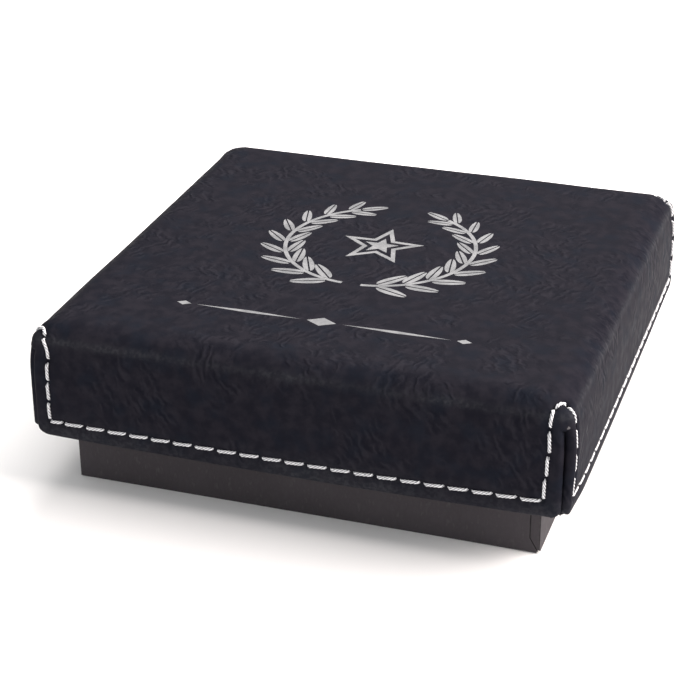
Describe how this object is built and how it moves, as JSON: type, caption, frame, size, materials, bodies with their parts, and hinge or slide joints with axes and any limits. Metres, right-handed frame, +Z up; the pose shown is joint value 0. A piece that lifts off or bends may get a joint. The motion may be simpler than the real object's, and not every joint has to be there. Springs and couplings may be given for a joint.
{
  "type": "medal box",
  "caption": "Square gift box for a round medal: lift-off padded leatherette lid with contrast topstitching, paper-wrapped tray, lift-out velvet insert over a ribbon well.",
  "frame": {"origin": "middle of the box's underside, on the table", "axes": "+Z up through the middle of the lid, +X to the right and +Y to the back of the wall that faces the viewer"},
  "size_m": [0.0964, 0.0964, 0.0314],
  "materials": {
    "leatherette": "black-navy leatherette, fine creased grain, soft satin",
    "seam_thread": "off-white twisted polyester thread",
    "wadding": "thin off-white foam wadding",
    "grey_board": "solid grey board, raw",
    "stay_paper": "brown kraft stay tape",
    "lining_paper": "black uncoated lining paper",
    "wrap_paper": "dark warm grey matt wrap paper",
    "foam": "dark open-cell foam",
    "velvet": "black flocked velvet, short pile"
  },
  "bodies": {
    "base": {"base_wrap": "wrap_paper", "base_board_floor": "grey_board", "base_board_front": "grey_board", "base_board_right": "grey_board", "base_board_back": "grey_board", "base_board_left": "grey_board", "base_stay_front_right": "stay_paper", "base_stay_back_right": "stay_paper", "base_stay_back_left": "stay_paper", "base_stay_front_left": "stay_paper", "base_lining": "lining_paper", "riser_front": "grey_board", "riser_right": "grey_board", "riser_back": "grey_board", "riser_left": "grey_board"},
    "insert": {"insert_card": "grey_board", "insert_foam_floor": "foam", "insert_foam_frame": "foam", "insert_velvet_face": "velvet", "insert_velvet_floor": "velvet"},
    "lid": {"lid_cover": "leatherette", "lid_seam_thread": "seam_thread", "lid_wadding": "wadding", "lid_board_top": "grey_board", "lid_board_front": "grey_board", "lid_board_right": "grey_board", "lid_board_back": "grey_board", "lid_board_left": "grey_board", "lid_stay_front_right": "stay_paper", "lid_stay_back_right": "stay_paper", "lid_stay_back_left": "stay_paper", "lid_stay_front_left": "stay_paper", "lid_lining_top": "lining_paper", "lid_lining_walls": "lining_paper"}
  },
  "joints": [
    {"name": "insert_lift", "type": "slide", "parent": "base", "child": "insert", "axis": [0, 0, 1], "range_m": [0, 0.02]},
    {"name": "lid_lift", "type": "slide", "parent": "insert", "child": "lid", "axis": [0, 0, 1], "range_m": [0, 0.045]}
  ]
}
